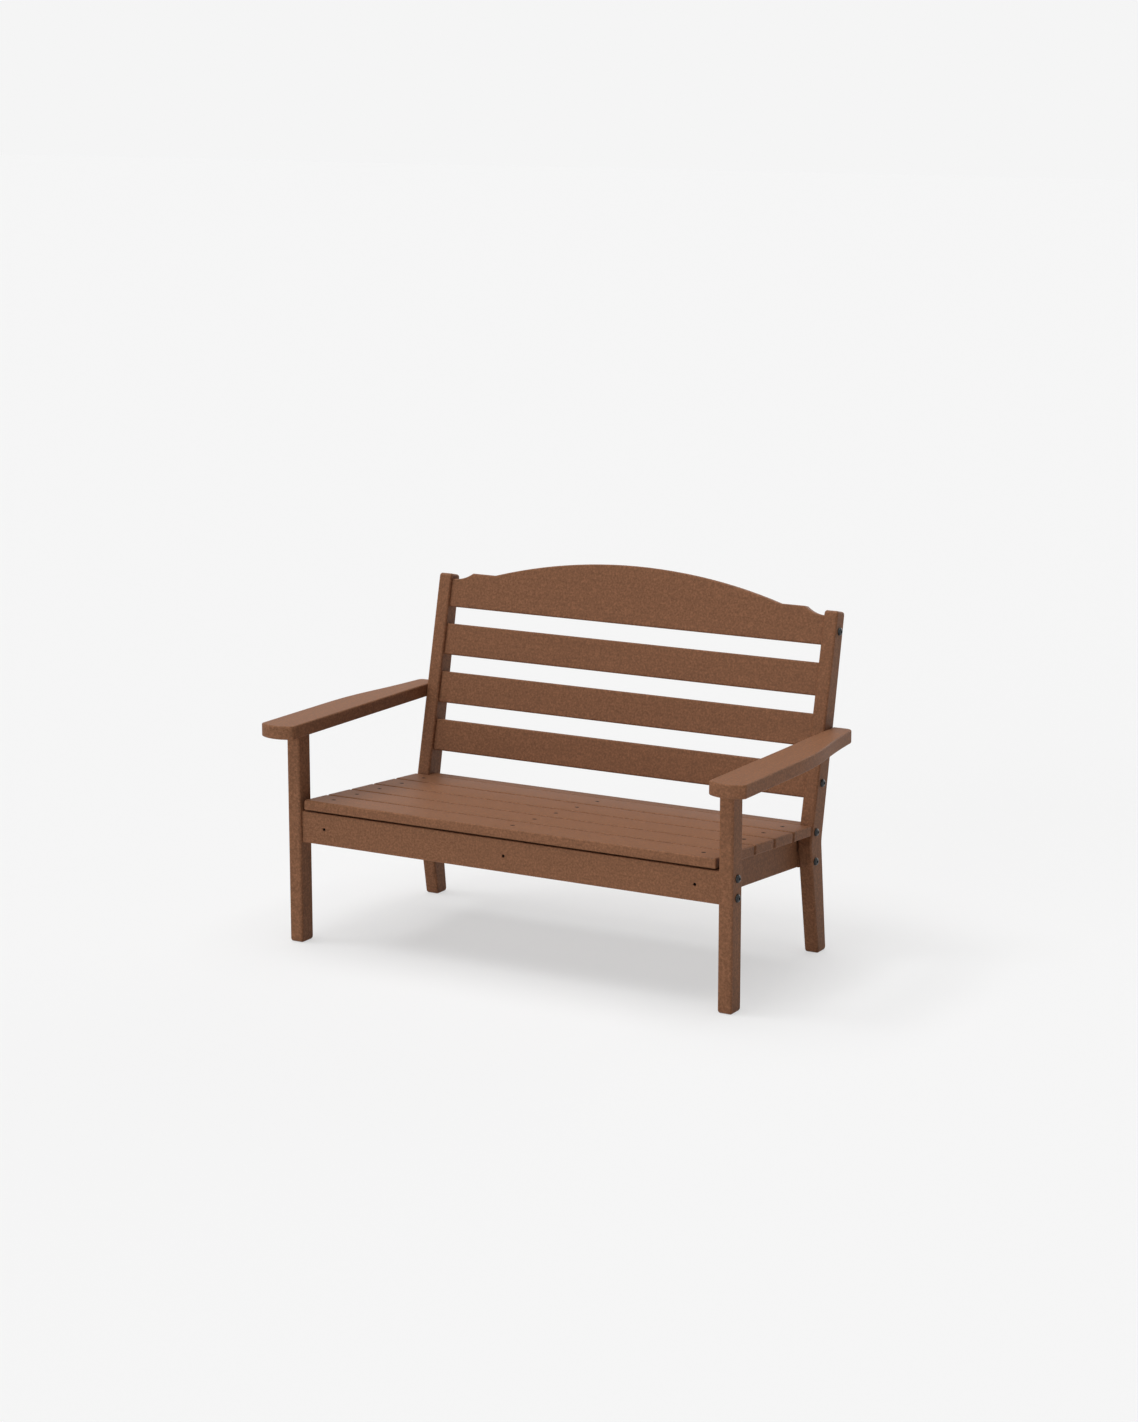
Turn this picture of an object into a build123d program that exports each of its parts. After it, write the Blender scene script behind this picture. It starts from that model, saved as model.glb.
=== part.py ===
"""Kids bench of plastic lumber: bent rear legs, sloped slat seat, reclined slat back, two level arms.

Millimetres, +Z up, X across the bench, -Y the front. The origin is on the floor, in the middle of
the bench's width and depth. Places along the depth are first worked out from the front face of the
front legs, and the planes below carry them into the part's own frame.
"""
from build123d import *
from math import cos, radians, sin, tan
import os

os.makedirs("parts", exist_ok=True)

# Boards
edge_radius = 3.0
apron_edge_radius = 1.5
leg_edge_radius = 4.0
leg_end_radius = 6.0
leg_thickness = 25.9
front_leg_depth = 35.5
rear_leg_spacing = 758.7
slat_end_clearance = 6.6

# Seat
seat_front_height = 260.3
seat_tilt = 3.9
seat_setback = 3.0
seat_slat_count = 5
seat_slat_width = 68.2
seat_slat_gap = 5.0
seat_slat_thickness = 17.6
seat_back_clearance = 2.2

# Seat frame
apron_thickness = 24.0
apron_height = 56.4
apron_slat_gap = 1.7
rear_apron_thickness = 23.0
rear_apron_height = 76.5
rear_apron_setback = 7.5
support_thickness = 22.0
support_height = 59.9
support_leg_clearance = 2.8

# Rear legs
knee_drop = 16.4
knee_depth = 44.4
foot_splay = 9.9
foot_depth = 33.3
recline = 13.04
post_top_margin = 9.0
post_top_depth = 31.5
knee_front_radius = 15.0
knee_back_radius = 60.0

# Back
back_rise = 80.8
back_slat_count = 3
back_slat_width = 57.6
back_slat_gap = 31.1
back_slat_thickness = 19.0
back_recess = 6.5
crest_end_height = 51.5
crest_cove_height = 12.8
crest_arch_height = 41.2
crest_end_flat = 4.5
crest_cove_width = 37.0
crest_shoulder_width = 48.0
crest_arch_foot_radius = 12.0
crest_shoulder_radius = 4.0

# Arms
arm_underside_height = 372.6
arm_thickness = 24.0
arm_width = 67.6
arm_rear_width = 38.0
arm_overhang = 37.0
arm_nose_rise = 12.0
arm_corner_radius = 8.0
arm_tail_radius = 12.0
arm_post_overlap = 40.0
arm_hollow_length = 140.0
arm_shoulder_length = 126.0
arm_shoulder_taper = 11.3

# Bolts and barrel nuts
socket_sides = 6
bolt_diameter = 8.0
bolt_head_diameter = 14.0
bolt_head_height = 4.4
bolt_reach = 34.0
bolt_head_rim = 0.8
bolt_head_flat = 6.4
bolt_socket_width = 5.0
bolt_socket_depth = 2.6
apron_bolt_spacing = 33.0
rear_apron_bolt_spacing = 52.2
nut_diameter = 12.0
nut_length = 14.0
nut_inset = 26.0
bolt_clearance = 0.25
thread_clearance = 0.05
nut_clearance = 0.2

# Screws and dowels
screw_diameter = 4.5
screw_head_diameter = 8.0
trim_head_diameter = 5.6
trim_head_sink = 3.0
screw_socket_width = 3.0
screw_socket_depth = 1.5
trim_screw_diameter = 3.5
trim_head_height = 2.5
seat_screw_length = 40.0
apron_screw_length = 56.0
arm_screw_length = 52.0
screw_head_angle = 90.0
screw_clearance = 0.1
dowel_diameter = 8.0
dowel_length = 34.0
arm_dowel_spacing = 15.0
back_dowel_spacing = 36.0
back_dowel_wall = 2.0
arm_screw_clearance = 1.5
dowel_clearance = 0.1

# Places across the bench, from its middle plane
rear_leg_inner = rear_leg_spacing / 2
rear_leg_outer = rear_leg_inner + leg_thickness
front_leg_inner = rear_leg_outer + slat_end_clearance
front_leg_outer = front_leg_inner + leg_thickness
front_leg_middle = front_leg_inner + leg_thickness / 2
support_place = rear_leg_inner - support_leg_clearance - support_thickness / 2
support_places = {"left": -support_place, "middle": 0.0, "right": support_place}
sides = {"left": -1, "right": 1}

# Seat slope, from the front face of the front legs
slope_sin = sin(radians(seat_tilt))
slope_cos = cos(radians(seat_tilt))
slope_tan = tan(radians(seat_tilt))
slat_pitch = seat_slat_width + seat_slat_gap
seat_length = seat_slat_count * slat_pitch - seat_slat_gap
slat_drop = seat_slat_thickness / slope_cos
support_drop = support_height / slope_cos


def seat_underside(y: float) -> float:
    """Height of the slats' undersides at a depth behind the front legs' front face."""
    return seat_front_height - (y - seat_setback) * slope_tan - slat_drop


# Rear legs, set just behind the last slat
seat_rear_y = seat_setback + seat_length * slope_cos - seat_slat_thickness * slope_sin
seat_rear_z = seat_underside(seat_rear_y)
lean_sin = sin(radians(recline))
lean_cos = cos(radians(recline))
knee_z = seat_rear_z - knee_drop
knee_y = seat_rear_y + seat_back_clearance - knee_drop * tan(radians(recline))
foot_y = knee_y + knee_z * tan(radians(foot_splay))


def on_post(rise: float, depth: float) -> tuple[float, float]:
    """Depth and height of a point up the post's front face from the knee, and behind that face."""
    y = knee_y + rise * lean_sin + depth * lean_cos
    z = knee_z + rise * lean_cos - depth * lean_sin
    return (y, z)


# Back, measured up the posts' front faces from the knees
back_pitch = back_slat_width + back_slat_gap
crest_rise = back_rise + back_slat_count * back_pitch
crest_shoulder_height = crest_end_height + crest_cove_height
crest_peak_height = crest_shoulder_height + crest_arch_height
post_length = crest_rise + crest_end_height + post_top_margin
back_slat_middle = back_recess + back_slat_thickness / 2
back_slat_rear = back_recess + back_slat_thickness

# Origin, halfway between the arms' noses and the crest's rearmost edge
crest_round = (crest_rise + crest_peak_height - edge_radius, back_slat_rear - edge_radius)
bench_back_y = on_post(*crest_round)[0] + edge_radius
middle_y = (bench_back_y - arm_overhang) / 2

# Aprons
apron_front_y = (front_leg_depth - apron_thickness) / 2
apron_back_y = apron_front_y + apron_thickness
apron_middle_y = apron_front_y + apron_thickness / 2
apron_top = seat_underside(apron_back_y) - apron_slat_gap
apron_middle_z = apron_top - apron_height / 2
rear_apron_front_y = knee_y + rear_apron_setback
rear_apron_middle_y = rear_apron_front_y + rear_apron_thickness / 2
rear_apron_back_y = rear_apron_front_y + rear_apron_thickness
rear_apron_bottom = seat_underside(rear_apron_front_y) - support_drop
rear_apron_middle_z = rear_apron_bottom + rear_apron_height / 2
rear_screw_z = seat_underside(rear_apron_front_y) - support_drop / 2

# Arms
arm_middle_z = arm_underside_height + arm_thickness / 2
arm_post_y = knee_y + (arm_middle_z - knee_z) * tan(radians(recline))
arm_rear_y = arm_post_y + arm_post_overlap
arm_turn_y = arm_rear_y - arm_hollow_length
arm_straight_y = arm_turn_y - arm_shoulder_length
arm_corner_y = arm_nose_rise - arm_overhang

# Fastener sizes
bolt_length = leg_thickness + bolt_reach
bolt_hole = bolt_diameter / 2 + bolt_clearance
nut_hole = nut_diameter / 2 + nut_clearance
screw_hole = screw_diameter / 2 + screw_clearance
screw_head_hole = screw_head_diameter / 2 + screw_clearance
trim_hole = trim_screw_diameter / 2 + screw_clearance
trim_head_hole = trim_head_diameter / 2 + screw_clearance
trim_bore_depth = trim_head_sink + trim_head_height
apron_screw_depth = trim_head_sink + apron_screw_length
arm_screw_depth = trim_head_sink + arm_screw_length
screw_head_height = (screw_head_diameter - screw_diameter) / 2 / tan(radians(screw_head_angle / 2))
dowel_hole = dowel_diameter / 2 + dowel_clearance
dowel_depth = dowel_length / 2 + dowel_clearance
back_dowel_line = back_slat_rear - back_dowel_wall - dowel_hole
arm_screw_line = back_dowel_line - dowel_hole - arm_screw_clearance - trim_head_hole
arm_screw_y = arm_post_y + arm_screw_line / lean_cos


# Planes of the bench
def side_plane(x: float) -> Plane:
    """Plane across the bench at x: its own x runs back, its own y runs up, it faces +X."""
    return Plane(origin=(x, -middle_y, 0), x_dir=(0, 1, 0), z_dir=(1, 0, 0))


def front_plane(y: float) -> Plane:
    """Upright plane at a depth behind the front legs' front face, facing the front."""
    return Plane(origin=(0, y - middle_y, 0), x_dir=(1, 0, 0), z_dir=(0, -1, 0))


def back_plane(y: float) -> Plane:
    """Upright plane at a depth behind the front legs' front face, facing the rear."""
    return Plane(origin=(0, y - middle_y, 0), x_dir=(-1, 0, 0), z_dir=(0, 1, 0))


def level_plane(z: float) -> Plane:
    """Level plane at a height, its own y measured from the front legs' front face."""
    return Plane(origin=(0, -middle_y, z), x_dir=(1, 0, 0), z_dir=(0, 0, 1))


seat_plane = Plane(
    origin=(0, seat_setback - middle_y, seat_front_height),
    x_dir=(1, 0, 0),
    z_dir=(0, slope_sin, slope_cos),
)
post_plane = Plane(
    origin=(0, knee_y - middle_y, knee_z),
    x_dir=(1, 0, 0),
    z_dir=(0, -lean_cos, lean_sin),
)
slat_face = post_plane.offset(-back_recess)
slat_rear_face = Plane(
    origin=post_plane.offset(-back_slat_rear).origin,
    x_dir=(-1, 0, 0),
    z_dir=-post_plane.z_dir,
)


# Fastener places: each plane faces out of the surface that the fastener enters
def across(x: float, facing: int, points: list) -> list[Plane]:
    """Places on both sides of the bench, at x either way from its middle plane.

    facing is 1 where they face away from that plane and -1 where they face it.
    """
    return [
        Plane(origin=(side * x, y - middle_y, z), z_dir=(side * facing, 0, 0))
        for side in sides.values()
        for y, z in points
    ]


def spaced(middle: float, spacing: float) -> list[float]:
    """Two values, a spacing apart, on either side of a middle one."""
    return [middle - spacing / 2, middle + spacing / 2]


apron_bolt_z = spaced(apron_middle_z, apron_bolt_spacing)
rear_apron_bolt_z = spaced(rear_apron_middle_z, rear_apron_bolt_spacing)
back_bolt_rises = [back_rise + back_slat_width / 2, crest_rise + crest_end_height / 2]
back_dowel_rises = [
    rise
    for k in range(1, back_slat_count)
    for rise in spaced(back_rise + k * back_pitch + back_slat_width / 2, back_dowel_spacing)
]
apron_bolt_places = across(front_leg_outer, 1, [(apron_middle_y, z) for z in apron_bolt_z])
rear_bolt_places = across(rear_leg_outer, 1, [(rear_apron_middle_y, z) for z in rear_apron_bolt_z])
back_points = [on_post(rise, back_slat_middle) for rise in back_bolt_rises]
back_bolt_places = across(rear_leg_outer, 1, back_points)
dowel_points = [on_post(rise, back_dowel_line) for rise in back_dowel_rises]
back_dowel_places = across(rear_leg_inner, -1, dowel_points)
back_dowel_ends = across(rear_leg_inner, 1, dowel_points)
arm_screw_places = across(rear_leg_inner, -1, [(arm_screw_y, arm_middle_z)])
arm_dowel_points = [
    (side * front_leg_middle, y - middle_y, arm_underside_height)
    for side in sides.values()
    for y in spaced(front_leg_depth / 2, arm_dowel_spacing)
]
arm_dowel_places = [Plane(origin=point, z_dir=(0, 0, 1)) for point in arm_dowel_points]
arm_dowel_ends = [Plane(origin=point, z_dir=(0, 0, -1)) for point in arm_dowel_points]
apron_nut_places = [
    back_plane(apron_back_y) * Pos(side * (front_leg_inner - nut_inset), z)
    for side in sides.values()
    for z in apron_bolt_z
]
rear_nut_places = [
    back_plane(rear_apron_back_y) * Pos(side * (rear_leg_inner - nut_inset), z)
    for side in sides.values()
    for z in rear_apron_bolt_z
]
back_nut_places = [
    slat_rear_face * Pos(side * (rear_leg_inner - nut_inset), rise)
    for side in sides.values()
    for rise in back_bolt_rises
]
front_screw_places = [
    front_plane(apron_front_y) * Pos(x, apron_middle_z) for x in support_places.values()
]
rear_screw_places = [
    back_plane(rear_apron_back_y) * Pos(-x, rear_screw_z) for x in support_places.values()
]
seat_screw_rows = [
    [seat_plane * Pos(x, k * slat_pitch + seat_slat_width / 2) for x in support_places.values()]
    for k in range(seat_slat_count)
]
seat_screw_places = [place for row in seat_screw_rows for place in row]


def save(part: Part, name: str) -> None:
    """Label a finished piece and write it as its own file."""
    part.label = name
    export_step(part, f"parts/{name}.step")


def outer_edges(faces: ShapeList) -> ShapeList:
    """All outline edges of the given faces."""
    return ShapeList([edge for face in faces for edge in face.outer_wire().edges()])


def drill(places: list, radius: float, depth: float) -> None:
    """Drill round holes into the piece in hand, from each place against the way it faces."""
    with Locations(*places):
        Hole(radius, depth)


# Front legs, upright boards under the arms
for name, side in sides.items():
    with BuildPart() as front_leg:
        with BuildSketch(side_plane(side * front_leg_inner)) as leg_profile:
            Rectangle(front_leg_depth, arm_underside_height, align=(Align.MIN, Align.MIN))
            fillet(leg_profile.vertices().group_by(Axis.Y)[0], leg_end_radius)
        extrude(amount=side * leg_thickness)
        leg_edges = outer_edges(front_leg.faces().filter_by(Axis.X))
        fillet(leg_edges.sort_by(Axis.Z)[:-len(sides)], leg_edge_radius)
        drill(apron_bolt_places, bolt_hole, bolt_length)
        drill(arm_dowel_places, dowel_hole, dowel_depth)
    save(front_leg.part, f"front_leg_{name}")

# Rear legs, one bent and tapered board each from the foot to the top of the back
for name, side in sides.items():
    with BuildPart() as rear_leg:
        with BuildSketch(side_plane(side * rear_leg_inner)) as leg_profile:
            with BuildLine():
                Polyline(
                    (foot_y, 0),
                    (foot_y + foot_depth, 0),
                    (knee_y + knee_depth, knee_z),
                    on_post(post_length, post_top_depth),
                    on_post(post_length, 0),
                    (knee_y, knee_z),
                    close=True,
                )
            make_face()
            corners = leg_profile.vertices().sort_by(Axis.Y)
            fillet(corners[:2] + corners[4:], leg_end_radius)
            knees = leg_profile.vertices().sort_by_distance((knee_y, knee_z))
            fillet(knees[0], knee_front_radius)
            knees = leg_profile.vertices().sort_by_distance((knee_y + knee_depth, knee_z))
            fillet(knees[0], knee_back_radius)
        extrude(amount=side * leg_thickness)
        fillet(outer_edges(rear_leg.faces().filter_by(Axis.X)), leg_edge_radius)
        drill(rear_bolt_places + back_bolt_places, bolt_hole, bolt_length)
        drill(back_dowel_places, dowel_hole, dowel_depth)
        with Locations(*arm_screw_places):
            CounterBoreHole(trim_hole, trim_head_hole, trim_bore_depth, arm_screw_depth)
    save(rear_leg.part, f"rear_leg_{name}")

# Front apron between the front legs, and rear apron between the rear legs
with BuildPart() as front_apron:
    with BuildSketch(side_plane(-front_leg_inner)):
        with Locations((apron_middle_y, apron_middle_z)):
            Rectangle(apron_thickness, apron_height)
    extrude(amount=2 * front_leg_inner)
    fillet(front_apron.edges(), apron_edge_radius)
    drill(apron_bolt_places, bolt_hole, bolt_length + bolt_clearance)
    drill(apron_nut_places, nut_hole, (apron_thickness + nut_length) / 2 + nut_clearance)
    with Locations(*front_screw_places):
        CounterBoreHole(trim_hole, trim_head_hole, trim_bore_depth, apron_screw_depth)
save(front_apron.part, "front_apron")

with BuildPart() as rear_apron:
    with BuildSketch(side_plane(-rear_leg_inner)):
        with Locations((rear_apron_middle_y, rear_apron_middle_z)):
            Rectangle(rear_apron_thickness, rear_apron_height)
    extrude(amount=2 * rear_leg_inner)
    fillet(rear_apron.edges(), apron_edge_radius)
    drill(rear_bolt_places, bolt_hole, bolt_length + bolt_clearance)
    drill(rear_nut_places, nut_hole, (rear_apron_thickness + nut_length) / 2 + nut_clearance)
    with Locations(*rear_screw_places):
        CounterBoreHole(trim_hole, trim_head_hole, trim_bore_depth, apron_screw_depth)
save(rear_apron.part, "rear_apron")

# Seat supports, sloped boards from apron to apron under the slats
seat_slope = Axis((0, 0, 0), (0, slope_cos, -slope_sin))
for name, x in support_places.items():
    with BuildPart() as support:
        with BuildSketch(side_plane(x)):
            with BuildLine():
                Polyline(
                    (apron_back_y, seat_underside(apron_back_y)),
                    (rear_apron_front_y, seat_underside(rear_apron_front_y)),
                    (rear_apron_front_y, seat_underside(rear_apron_front_y) - support_drop),
                    (apron_back_y, seat_underside(apron_back_y) - support_drop),
                    close=True,
                )
            make_face()
        extrude(amount=support_thickness / 2, both=True)
        fillet(support.edges().filter_by(seat_slope).group_by(Axis.Z)[0], edge_radius)
        drill(front_screw_places + rear_screw_places, trim_hole, apron_screw_depth + screw_clearance)
        drill(seat_screw_places, screw_hole, seat_screw_length + screw_clearance)
    save(support.part, f"seat_support_{name}")

# Seat slats, from the front
for k, row in enumerate(seat_screw_rows):
    with BuildPart() as seat_slat:
        with BuildSketch(seat_plane):
            with Locations((0, k * slat_pitch + seat_slat_width / 2)):
                Rectangle(2 * rear_leg_outer, seat_slat_width)
        extrude(amount=-seat_slat_thickness)
        fillet(seat_slat.edges(), edge_radius)
        with Locations(*row):
            CounterSinkHole(screw_hole, screw_head_hole, seat_screw_length, screw_head_angle)
    save(seat_slat.part, f"seat_slat_{k + 1}")

# Back slats, from the lowest
for k in range(back_slat_count):
    with BuildPart() as back_slat:
        with BuildSketch(slat_face):
            with Locations((0, back_rise + k * back_pitch + back_slat_width / 2)):
                Rectangle(2 * rear_leg_inner, back_slat_width)
        extrude(amount=-back_slat_thickness)
        fillet(back_slat.edges().filter_by(Axis.X), edge_radius)
        drill(back_bolt_places, bolt_hole, bolt_length + bolt_clearance)
        drill(back_nut_places, nut_hole, (back_slat_thickness + nut_length) / 2 + nut_clearance)
        drill(back_dowel_ends, dowel_hole, dowel_depth)
    save(back_slat.part, f"back_slat_{k + 1}")

# Crest rail: level ends, coves up to level shoulders, one wide arch between them
end_top = crest_rise + crest_end_height
shoulder_top = crest_rise + crest_shoulder_height
cove_start = rear_leg_inner - crest_end_flat
cove_end = cove_start - crest_cove_width
arch_start = cove_end - crest_shoulder_width
with BuildPart() as crest_rail:
    with BuildSketch(slat_face) as crest_outline:
        with BuildLine():
            Polyline(
                (0, crest_rise),
                (rear_leg_inner, crest_rise),
                (rear_leg_inner, end_top),
                (cove_start, end_top),
            )
            TangentArc((cove_start, end_top), (cove_end, shoulder_top), tangent=(-1, 0))
            Line((cove_end, shoulder_top), (arch_start, shoulder_top))
            TangentArc((0, crest_rise + crest_peak_height), (arch_start, shoulder_top), tangent=(1, 0))
            mirror(about=Plane.YZ)
        make_face()
        for side in sides.values():
            arch_foot = crest_outline.vertices().sort_by_distance((side * arch_start, shoulder_top))
            fillet(arch_foot[0], crest_arch_foot_radius)
            shoulder = crest_outline.vertices().sort_by_distance((side * cove_end, shoulder_top))
            fillet(shoulder[0], crest_shoulder_radius)
    extrude(amount=-back_slat_thickness)
    crest_edges = outer_edges(crest_rail.faces().filter_by(slat_face))
    fillet(crest_edges.filter_by(lambda edge: abs(edge.center().X) < cove_start), edge_radius)
    drill(back_bolt_places, bolt_hole, bolt_length + bolt_clearance)
    drill(back_nut_places, nut_hole, (back_slat_thickness + nut_length) / 2 + nut_clearance)
save(crest_rail.part, "crest_rail")

# Arms, level boards with a rounded nose and a tail that narrows beside the post
for name, side in sides.items():
    inner = side * rear_leg_outer
    outer = side * (rear_leg_outer + arm_width)
    turn = side * (rear_leg_outer + arm_width - arm_shoulder_taper)
    tail = side * (rear_leg_outer + arm_rear_width)
    with BuildPart() as arm:
        with BuildSketch(level_plane(arm_underside_height)) as arm_outline:
            with BuildLine():
                ThreePointArc(
                    (inner, arm_corner_y),
                    ((inner + outer) / 2, -arm_overhang),
                    (outer, arm_corner_y),
                )
                Line((outer, arm_corner_y), (outer, arm_straight_y))
                shoulder_arc = TangentArc(
                    (outer, arm_straight_y), (turn, arm_turn_y), tangent=(0, 1)
                )
                TangentArc((turn, arm_turn_y), (tail, arm_rear_y), tangent=shoulder_arc % 1)
                Polyline((tail, arm_rear_y), (inner, arm_rear_y), (inner, arm_corner_y))
            make_face()
            nose_corners = arm_outline.vertices().group_by(Axis.Y)[0]
            fillet(nose_corners, arm_corner_radius)
            tail_corner = arm_outline.vertices().sort_by_distance((tail, arm_rear_y))[0]
            fillet(tail_corner, arm_tail_radius)
        extrude(amount=arm_thickness)
        fillet(outer_edges(arm.faces().filter_by(Axis.Z)), edge_radius)
        drill(arm_dowel_ends, dowel_hole, dowel_depth)
        drill(arm_screw_places, trim_hole, arm_screw_depth + screw_clearance)
    save(arm.part, f"arm_{name}")

# Fasteners, each made once with its entry face at the origin and its tip down
with BuildPart() as bolt:
    with BuildSketch(Plane.XZ):
        with BuildLine():
            Polyline(
                (bolt_head_flat / 2, bolt_head_height),
                (0, bolt_head_height),
                (0, -bolt_length),
                (bolt_diameter / 2, -bolt_length),
                (bolt_diameter / 2, 0),
                (bolt_head_diameter / 2, 0),
                (bolt_head_diameter / 2, bolt_head_rim),
            )
            TangentArc(
                (bolt_head_flat / 2, bolt_head_height),
                (bolt_head_diameter / 2, bolt_head_rim),
                tangent=(1, 0),
            )
        make_face()
    revolve(axis=Axis.Z)
    with BuildSketch(Plane.XY.offset(bolt_head_height)):
        RegularPolygon(bolt_socket_width / 2, socket_sides, major_radius=False)
    extrude(amount=-bolt_socket_depth, mode=Mode.SUBTRACT)

with BuildPart() as barrel_nut:
    Cylinder(nut_diameter / 2, nut_length)
    with Locations(Plane.YZ.offset(nut_diameter)):
        Hole(bolt_diameter / 2 + thread_clearance, 2 * nut_diameter)

with BuildPart() as seat_screw:
    top = (Align.CENTER, Align.CENTER, Align.MAX)
    Cylinder(screw_diameter / 2, seat_screw_length, align=top)
    Cone(screw_diameter / 2, screw_head_diameter / 2, screw_head_height, align=top)
    with BuildSketch(Plane.XY):
        RegularPolygon(screw_socket_width / 2, socket_sides, major_radius=False)
    extrude(amount=-screw_socket_depth, mode=Mode.SUBTRACT)


def trim_screw(length: float) -> Part:
    """Small-headed screw that is driven a little under its entry face."""
    head_top = Plane.XY.offset(-trim_head_sink)
    with BuildPart() as screw:
        with BuildSketch(head_top):
            Circle(trim_head_diameter / 2)
        extrude(amount=-trim_head_height)
        with BuildSketch(head_top):
            Circle(trim_screw_diameter / 2)
        extrude(amount=-length)
        with BuildSketch(head_top):
            RegularPolygon(screw_socket_width / 2, socket_sides, major_radius=False)
        extrude(amount=-screw_socket_depth, mode=Mode.SUBTRACT)
    return screw.part


with BuildPart() as dowel:
    Cylinder(dowel_diameter / 2, dowel_length)


def save_set(piece: Part, places: list, name: str) -> None:
    """Copy a fastener to each of its places and write the copies as one set of separate solids."""
    with BuildPart() as copies:
        with Locations(*places):
            add(piece)
    save(copies.part, name)


def sunk(places: list[Location], depth: float) -> list[Location]:
    """The same places, moved into the material by a depth."""
    return [place * Pos(0, 0, -depth) for place in places]


save_set(bolt.part, apron_bolt_places, "front_apron_bolts")
save_set(bolt.part, rear_bolt_places, "rear_apron_bolts")
save_set(bolt.part, back_bolt_places, "back_bolts")
save_set(barrel_nut.part, sunk(apron_nut_places, apron_thickness / 2), "front_apron_nuts")
save_set(barrel_nut.part, sunk(rear_nut_places, rear_apron_thickness / 2), "rear_apron_nuts")
save_set(barrel_nut.part, sunk(back_nut_places, back_slat_thickness / 2), "back_nuts")
save_set(trim_screw(apron_screw_length), front_screw_places, "front_apron_screws")
save_set(trim_screw(apron_screw_length), rear_screw_places, "rear_apron_screws")
save_set(trim_screw(arm_screw_length), arm_screw_places, "arm_screws")
save_set(seat_screw.part, seat_screw_places, "seat_screws")
save_set(dowel.part, arm_dowel_places, "arm_dowels")
save_set(dowel.part, back_dowel_places, "back_dowels")
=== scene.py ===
"""Looks of a child-size garden bench of brown plastic lumber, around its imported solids.

Metres, in the frame of the solids: +X to the right as seen from the front, +Y to the rear, +Z up.
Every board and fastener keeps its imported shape, so this file only gives them their finishes, and
sets up the floor, the light and the camera.
"""

import logging
from dataclasses import dataclass
from enum import Enum
from math import pi, radians
from typing import Any

import bpy
import numpy as np
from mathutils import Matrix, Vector

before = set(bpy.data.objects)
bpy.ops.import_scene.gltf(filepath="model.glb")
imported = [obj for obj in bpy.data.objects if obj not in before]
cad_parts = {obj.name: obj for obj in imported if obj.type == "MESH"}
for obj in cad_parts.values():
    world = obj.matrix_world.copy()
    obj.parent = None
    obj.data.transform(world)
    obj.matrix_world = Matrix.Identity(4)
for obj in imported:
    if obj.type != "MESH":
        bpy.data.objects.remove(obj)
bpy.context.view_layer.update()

LOG = logging.getLogger("bench")
MM = 0.001
SIDES = ("left", "right")


class Grain(Enum):
    """Which way a board was drawn out of its die, as the axis that its streaks run along."""

    ACROSS = 0
    DEEP = 1
    UPRIGHT = 2


def linear(hex_colour: str) -> tuple[float, float, float, float]:
    """Turn an sRGB hex colour into linear light, by the curve that defines sRGB.

    Args:
        hex_colour: six hex digits, such as "7a5540".

    Returns:
        Linear red, green and blue, and an alpha of 1.
    """
    srgb = np.array([int(hex_colour[k:k + 2], 16) for k in (0, 2, 4)]) / 255.0
    light = np.where(srgb <= 0.04045, srgb / 12.92, ((srgb + 0.055) / 1.055) ** 2.4)
    return (float(light[0]), float(light[1]), float(light[2]), 1.0)


def add_node(
    tree: bpy.types.NodeTree, kind: str, settings: dict[Any, Any], links: dict[Any, Any],
) -> Any:
    """Add one shader node, set it and link its inputs.

    Args:
        tree: node tree that gets the node.
        kind: Blender's name of the node type.
        settings: attributes of the node, and values of its input sockets by name or index.
        links: output socket to link to each input socket, by the input's name or index.

    Returns:
        The new node.
    """
    node = tree.nodes.new(kind)
    for key, value in settings.items():
        if isinstance(key, str) and hasattr(node, key):
            setattr(node, key, value)
        else:
            node.inputs[key].default_value = value
    for key, source in links.items():
        tree.links.new(source, node.inputs[key])
    return node


def per_metre(size_mm: float) -> float:
    """Noise scale whose features are about a size in millimetres, on coordinates in metres."""
    return 1.0 / (size_mm * MM)


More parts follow.
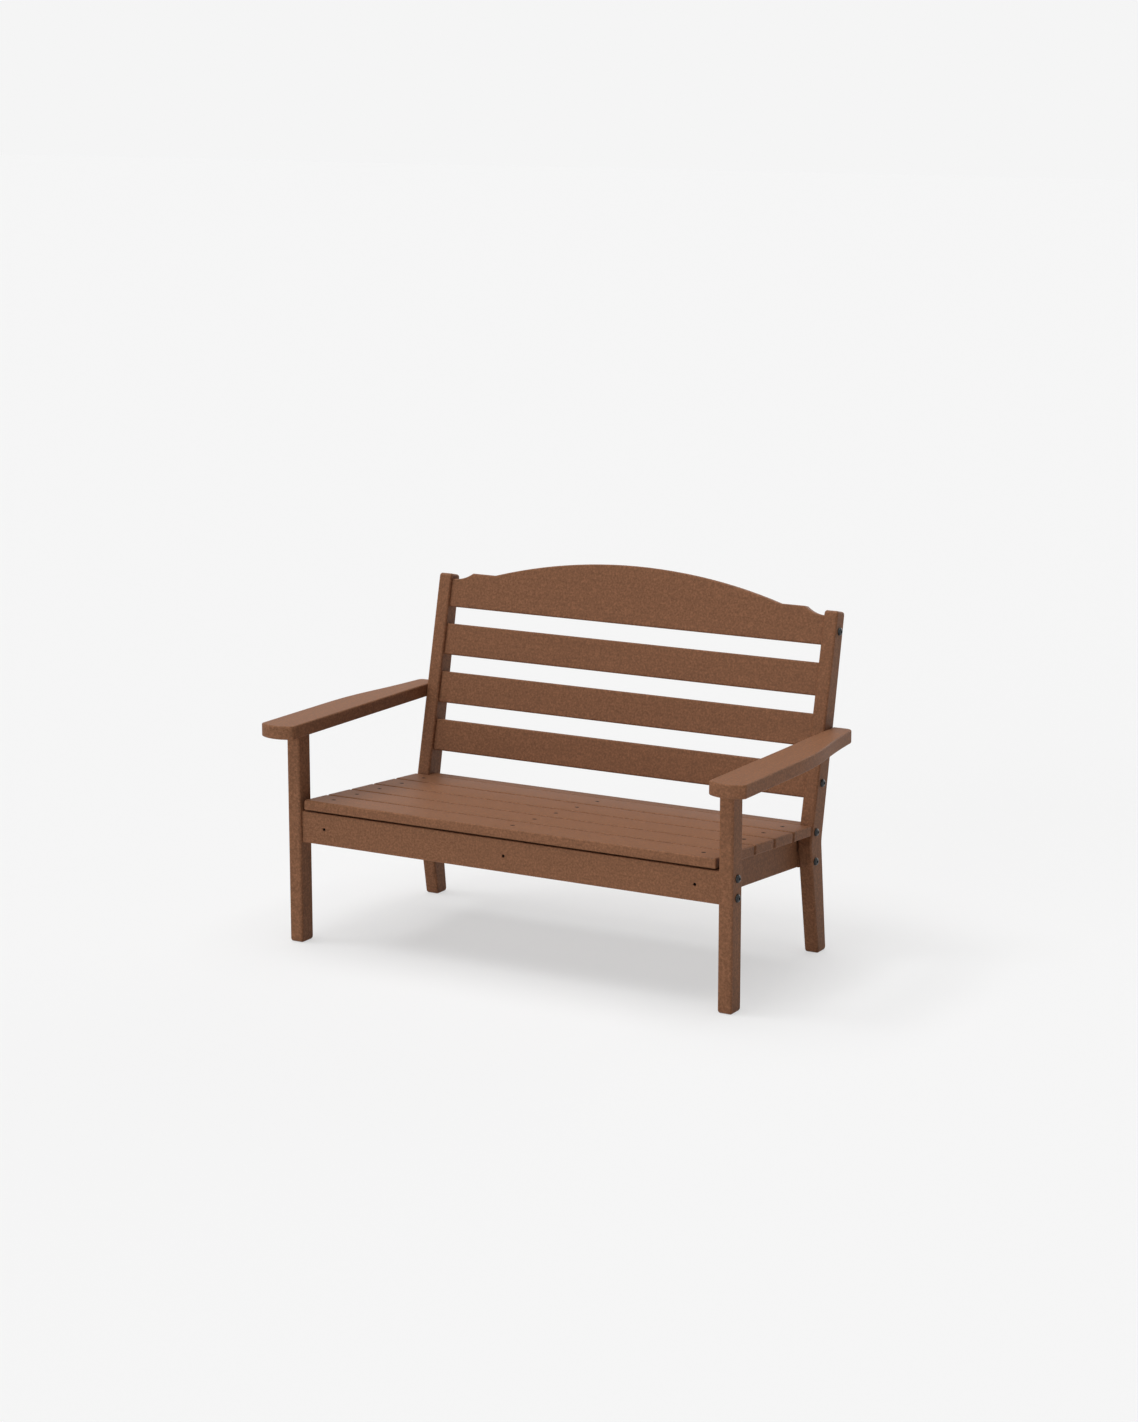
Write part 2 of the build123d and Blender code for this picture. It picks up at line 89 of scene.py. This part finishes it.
@dataclass(frozen=True)
class PlasticLumber:
    """Polyethylene lumber, coloured all through and drawn through a textured die.

    To the eye: an even warm brown, a fine mottle of slightly lighter and darker grit, faint streaks
    along the board, and a satin skin with a pebbled sheen. The real grit and pebbles are about 1 mm
    across. They are drawn about three times as coarse, because a pixel here covers more than 2 mm.
    """

    name: str = "extruded_polyethylene_lumber"
    colour: str = "7e563d"
    dark: str = "6a4832"
    light: str = "94674b"
    mottle_mm: float = 3.6
    mottle_detail: float = 3.0
    mottle_crispness: float = 0.6
    mottle_low: float = 0.3
    mottle_high: float = 0.7
    streak_mm: float = 4.0
    streak_length: float = 40.0
    streak_detail: float = 2.0
    streak_share: float = 0.12
    pebble_mm: float = 2.5
    pebble_height_mm: float = 0.12
    roughness_low: float = 0.46
    roughness_high: float = 0.6
    ior: float = 1.51
    sheen_share: float = 0.11

    def build(self, grain: Grain) -> bpy.types.Material:
        """Make the material for boards drawn one way.

        Args:
            grain: axis that the streaks run along.

        Returns:
            The material.
        """
        material = bpy.data.materials.new(f"{self.name}_{grain.name.lower()}")
        material.use_nodes = True
        tree = material.node_tree
        shader = tree.nodes["Principled BSDF"]
        place = add_node(tree, "ShaderNodeTexCoord", {}, {}).outputs["Object"]
        squeeze = [1.0, 1.0, 1.0]
        squeeze[grain.value] = 1.0 / self.streak_length
        along = add_node(tree, "ShaderNodeMapping", {"Scale": squeeze}, {"Vector": place})
        # Grit of the coloured resin, even in all directions
        mottle = add_node(
            tree, "ShaderNodeTexNoise",
            {
                "Scale": per_metre(self.mottle_mm),
                "Detail": self.mottle_detail,
                "Roughness": self.mottle_crispness,
            },
            {"Vector": place},
        )
        # Flow lines that the die leaves, long along the board and narrow across it
        streak = add_node(
            tree, "ShaderNodeTexNoise",
            {"Scale": per_metre(self.streak_mm), "Detail": self.streak_detail},
            {"Vector": along.outputs["Vector"]},
        )
        tone = add_node(
            tree, "ShaderNodeMix", {"data_type": "FLOAT", "Factor": self.streak_share},
            {"A": mottle.outputs["Fac"], "B": streak.outputs["Fac"]},
        )
        colours = add_node(tree, "ShaderNodeValToRGB", {}, {"Fac": tone.outputs["Result"]})
        ramp = colours.color_ramp
        ramp.elements[0].position = self.mottle_low
        ramp.elements[0].color = linear(self.dark)
        ramp.elements[1].position = self.mottle_high
        ramp.elements[1].color = linear(self.light)
        middle = ramp.elements.new((self.mottle_low + self.mottle_high) / 2)
        middle.color = linear(self.colour)
        tree.links.new(colours.outputs["Color"], shader.inputs["Base Color"])
        # The lighter grit is a little duller than the skin around it
        rough = add_node(
            tree, "ShaderNodeMapRange",
            {
                "From Min": self.mottle_low,
                "From Max": self.mottle_high,
                "To Min": self.roughness_low,
                "To Max": self.roughness_high,
            },
            {"Value": mottle.outputs["Fac"]},
        )
        tree.links.new(rough.outputs["Result"], shader.inputs["Roughness"])
        # Pebbled skin, which breaks up the sheen
        pebble = add_node(
            tree, "ShaderNodeTexNoise", {"Scale": per_metre(self.pebble_mm)}, {"Vector": place},
        )
        bump = add_node(
            tree, "ShaderNodeBump", {"Distance": self.pebble_height_mm * MM},
            {"Height": pebble.outputs["Fac"]},
        )
        tree.links.new(bump.outputs["Normal"], shader.inputs["Normal"])
        shader.inputs["IOR"].default_value = self.ior
        shader.inputs["Specular IOR Level"].default_value = self.sheen_share
        return material


@dataclass(frozen=True)
class SteelFinish:
    """Steel hardware, coated or plated, with a finish that is slightly uneven from tumbling.

    To the eye: an even colour with soft small highlights, broken up a little by the coating's grit.
    """

    name: str
    colour: str
    metallic: float
    roughness: float
    sheen_share: float = 0.5
    unevenness: float = 0.2
    grit_mm: float = 0.4
    grit_height_mm: float = 0.02

    def build(self) -> bpy.types.Material:
        """Make the material."""
        material = bpy.data.materials.new(self.name)
        material.use_nodes = True
        tree = material.node_tree
        shader = tree.nodes["Principled BSDF"]
        place = add_node(tree, "ShaderNodeTexCoord", {}, {}).outputs["Object"]
        grit = add_node(
            tree, "ShaderNodeTexNoise", {"Scale": per_metre(self.grit_mm)}, {"Vector": place},
        )
        rough = add_node(
            tree, "ShaderNodeMapRange",
            {
                "To Min": (1.0 - self.unevenness) * self.roughness,
                "To Max": (1.0 + self.unevenness) * self.roughness,
            },
            {"Value": grit.outputs["Fac"]},
        )
        tree.links.new(rough.outputs["Result"], shader.inputs["Roughness"])
        bump = add_node(
            tree, "ShaderNodeBump", {"Distance": self.grit_height_mm * MM},
            {"Height": grit.outputs["Fac"]},
        )
        tree.links.new(bump.outputs["Normal"], shader.inputs["Normal"])
        shader.inputs["Base Color"].default_value = linear(self.colour)
        shader.inputs["Metallic"].default_value = self.metallic
        shader.inputs["Specular IOR Level"].default_value = self.sheen_share
        return material


def dress(nodes: list[str], material: bpy.types.Material) -> None:
    """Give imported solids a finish.

    Args:
        nodes: names of the solids.
        material: their finish.
    """
    for name in nodes:
        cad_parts[name].material_slots[0].material = material
        LOG.info("%s: %s", name, material.name)


@dataclass
class SideFrames:
    """The two ends of the bench: upright front legs, bent rear legs and level arms."""

    legs: tuple[str, ...] = ("front_leg", "rear_leg")

    def build(self, lumber: dict[Grain, bpy.types.Material]) -> None:
        """Dress the legs and the arms.

        Args:
            lumber: material for each way of the grain.
        """
        dress([f"{leg}_{side}" for leg in self.legs for side in SIDES], lumber[Grain.UPRIGHT])
        dress([f"arm_{side}" for side in SIDES], lumber[Grain.DEEP])


@dataclass
class Seat:
    """The seat's slats, and the aprons and sloped supports under them."""

    slats: int = 5
    aprons: tuple[str, ...] = ("front_apron", "rear_apron")
    supports: tuple[str, ...] = ("left", "middle", "right")

    def build(self, lumber: dict[Grain, bpy.types.Material]) -> None:
        """Dress the slats, the aprons and the supports.

        Args:
            lumber: material for each way of the grain.
        """
        dress([f"seat_slat_{k + 1}" for k in range(self.slats)], lumber[Grain.ACROSS])
        dress(list(self.aprons), lumber[Grain.ACROSS])
        dress([f"seat_support_{place}" for place in self.supports], lumber[Grain.DEEP])


@dataclass
class Back:
    """The back's slats and the arched crest rail above them."""

    slats: int = 3

    def build(self, lumber: dict[Grain, bpy.types.Material]) -> None:
        """Dress the slats and the crest rail.

        Args:
            lumber: material for each way of the grain.
        """
        dress([f"back_slat_{k + 1}" for k in range(self.slats)], lumber[Grain.ACROSS])
        dress(["crest_rail"], lumber[Grain.ACROSS])


@dataclass
class Hardware:
    """Bolts, barrel nuts, screws and dowels."""

    bolted: tuple[str, ...] = ("front_apron", "rear_apron", "back")
    screwed: tuple[str, ...] = ("front_apron", "rear_apron", "seat", "arm")
    dowelled: tuple[str, ...] = ("arm", "back")
    # Powder coat over steel: nearly black, with a soft grey highlight on the domed heads
    bolt: SteelFinish = SteelFinish(
        "black_coated_steel", "080a0c", metallic=0.0, roughness=0.28, sheen_share=0.42,
    )
    # Bright zinc plate, seen only in the nut holes at the rear
    nut: SteelFinish = SteelFinish("zinc_plated_steel", "b9bab6", metallic=1.0, roughness=0.32)
    # Black oxide: a dull black that shows as small dark dots
    screw: SteelFinish = SteelFinish(
        "black_oxide_steel", "060606", metallic=0.0, roughness=0.6, sheen_share=0.08,
    )
    # Plain extruded rod of the same resin, a little greyer than the boards
    dowel: PlasticLumber = PlasticLumber(
        "extruded_polyethylene_rod", colour="6b4c3a", dark="5f4233", light="775642",
    )

    def build(self) -> None:
        """Dress every fastener."""
        dress([f"{joint}_bolts" for joint in self.bolted], self.bolt.build())
        dress([f"{joint}_nuts" for joint in self.bolted], self.nut.build())
        dress([f"{joint}_screws" for joint in self.screwed], self.screw.build())
        dress([f"{joint}_dowels" for joint in self.dowelled], self.dowel.build(Grain.ACROSS))


def shows_background(tree: bpy.types.NodeTree) -> bpy.types.NodeSocket:
    """Add the nodes that are 1 for rays that show the background, and 0 for those that only light.

    Args:
        tree: node tree of the floor or of the world.

    Returns:
        Their output socket.
    """
    path = add_node(tree, "ShaderNodeLightPath", {}, {})
    socket = path.outputs["Is Camera Ray"]
    for ray in ("Is Glossy Ray", "Is Transmission Ray"):
        pair = {0: socket, 1: path.outputs[ray]}
        socket = add_node(tree, "ShaderNodeMath", {"operation": "MAXIMUM"}, pair).outputs["Value"]
    return socket


@dataclass(frozen=True)
class StudioPaint:
    """Matt white paint of the floor, which takes soft shadows and fades into the background."""

    colour: str = "f4f4f4"
    background: str = "f5f5f5"
    glow: float = 0.6

    def build(self) -> bpy.types.Material:
        """Make the material: paint, mixed with the background's own pale light where that shows."""
        paint = bpy.data.materials.new("matt_white_studio_paint")
        paint.use_nodes = True
        tree = paint.node_tree
        shader = tree.nodes["Principled BSDF"]
        shader.inputs["Base Color"].default_value = linear(self.colour)
        shader.inputs["Roughness"].default_value = 1.0
        shader.inputs["Specular IOR Level"].default_value = 0.0
        pale = add_node(tree, "ShaderNodeEmission", {"Color": linear(self.background)}, {})
        share = add_node(
            tree, "ShaderNodeMath", {"operation": "MULTIPLY", 1: self.glow},
            {0: shows_background(tree)},
        )
        mix = add_node(
            tree, "ShaderNodeMixShader", {},
            {0: share.outputs["Value"], 1: shader.outputs["BSDF"], 2: pale.outputs["Emission"]},
        )
        tree.links.new(mix.outputs["Shader"], tree.nodes["Material Output"].inputs["Surface"])
        return paint


@dataclass(frozen=True)
class SoftLamp:
    """Wide, even lamp far from the bench.

    The strength is the share of white that it gives a white surface facing it, the source points
    from the bench towards it, and the angle is its width as seen from the bench, in degrees.
    """

    name: str
    strength: float
    source: tuple[float, float, float]
    angle: float

    def hang(self) -> None:
        """Add the lamp to the scene."""
        lamp = bpy.data.lights.new(self.name, "SUN")
        lamp.energy = self.strength * pi
        lamp.angle = radians(self.angle)
        holder = bpy.data.objects.new(self.name, lamp)
        holder.rotation_euler = Vector(self.source).to_track_quat("Z", "Y").to_euler()
        bpy.context.scene.collection.objects.link(holder)


@dataclass
class Studio:
    """Pale floor, faint even sky, four soft lamps and the camera."""

    paint: StudioPaint = StudioPaint()
    floor_half: float = 30.0
    floor_points: int = 3
    sky_colour: str = "ffffff"
    sky_strength: float = 0.04
    # Top light, a little from the left, which lays the soft shadow under the seat
    key: SoftLamp = SoftLamp("overhead_key", strength=0.8, source=(-0.13, -0.02, 1.0), angle=64.0)
    # Low light from the front, for the aprons, the legs and the back
    fill: SoftLamp = SoftLamp("front_fill", strength=0.395, source=(-0.22, -0.95, 0.12), angle=44.0)
    # Weak light from behind, so that the rear doesn't go black
    rear: SoftLamp = SoftLamp("rear_fill", strength=0.14, source=(0.1, 0.97, 0.2), angle=36.0)
    # Small lamp that the rounded upper front edges throw back to the camera
    glint: SoftLamp = SoftLamp("edge_glint", strength=0.12, source=(-0.49, -0.21, 0.85), angle=16.0)
    camera_at: tuple[float, float, float] = (2.68441, -4.64589, 1.56193)
    camera_turn: tuple[float, float, float] = (78.0, 0.0, 30.0)
    lens_mm: float = 100.0
    sensor_mm: float = 36.0

    def lay_floor(self) -> None:
        """Lay a level square floor: a grid of x and y at even steps, with z = 0 throughout."""
        line = np.linspace(-self.floor_half, self.floor_half, self.floor_points)
        x, y = np.meshgrid(line, line, indexing="xy")
        points = np.stack([x.ravel(), y.ravel(), np.zeros(x.size)], axis=1)
        index = np.arange(x.size).reshape(x.shape)
        corners = [index[:-1, :-1], index[:-1, 1:], index[1:, 1:], index[1:, :-1]]
        faces = np.stack([c.ravel() for c in corners], axis=1)
        mesh = bpy.data.meshes.new("floor")
        mesh.from_pydata(points.tolist(), [], faces.tolist())
        mesh.materials.append(self.paint.build())
        floor = bpy.data.objects.new("floor", mesh)
        bpy.context.scene.collection.objects.link(floor)

    def light(self) -> None:
        """Set an even sky, seen as the pale background, and hang the lamps."""
        world = bpy.data.worlds.new("studio")
        world.use_nodes = True
        tree = world.node_tree
        even = add_node(
            tree, "ShaderNodeBackground",
            {"Color": linear(self.sky_colour), "Strength": self.sky_strength}, {},
        )
        pale = add_node(tree, "ShaderNodeBackground", {"Color": linear(self.paint.background)}, {})
        mix = add_node(
            tree, "ShaderNodeMixShader", {},
            {
                0: shows_background(tree),
                1: even.outputs["Background"],
                2: pale.outputs["Background"],
            },
        )
        tree.links.new(mix.outputs["Shader"], tree.nodes["World Output"].inputs["Surface"])
        bpy.context.scene.world = world
        for lamp in (self.key, self.fill, self.rear, self.glint):
            lamp.hang()

    def aim_camera(self) -> None:
        """Place the camera: a long lens, 30 degrees round from the front and 12 degrees down."""
        lens = bpy.data.cameras.new("camera")
        lens.lens = self.lens_mm
        lens.sensor_width = self.sensor_mm
        lens.sensor_fit = "HORIZONTAL"
        camera = bpy.data.objects.new("camera", lens)
        camera.location = self.camera_at
        camera.rotation_euler = [radians(turn) for turn in self.camera_turn]
        bpy.context.scene.collection.objects.link(camera)
        bpy.context.scene.camera = camera

    def build(self) -> None:
        """Set up the whole studio."""
        bpy.context.scene.view_settings.view_transform = "Standard"
        self.lay_floor()
        self.light()
        self.aim_camera()


def main() -> None:
    """Dress the bench and set up the studio."""
    logging.basicConfig(level=logging.INFO, format="%(name)s %(message)s")
    finish = PlasticLumber()
    lumber = {grain: finish.build(grain) for grain in Grain}
    SideFrames().build(lumber)
    Seat().build(lumber)
    Back().build(lumber)
    Hardware().build()
    Studio().build()


if __name__ == "__main__":
    main()
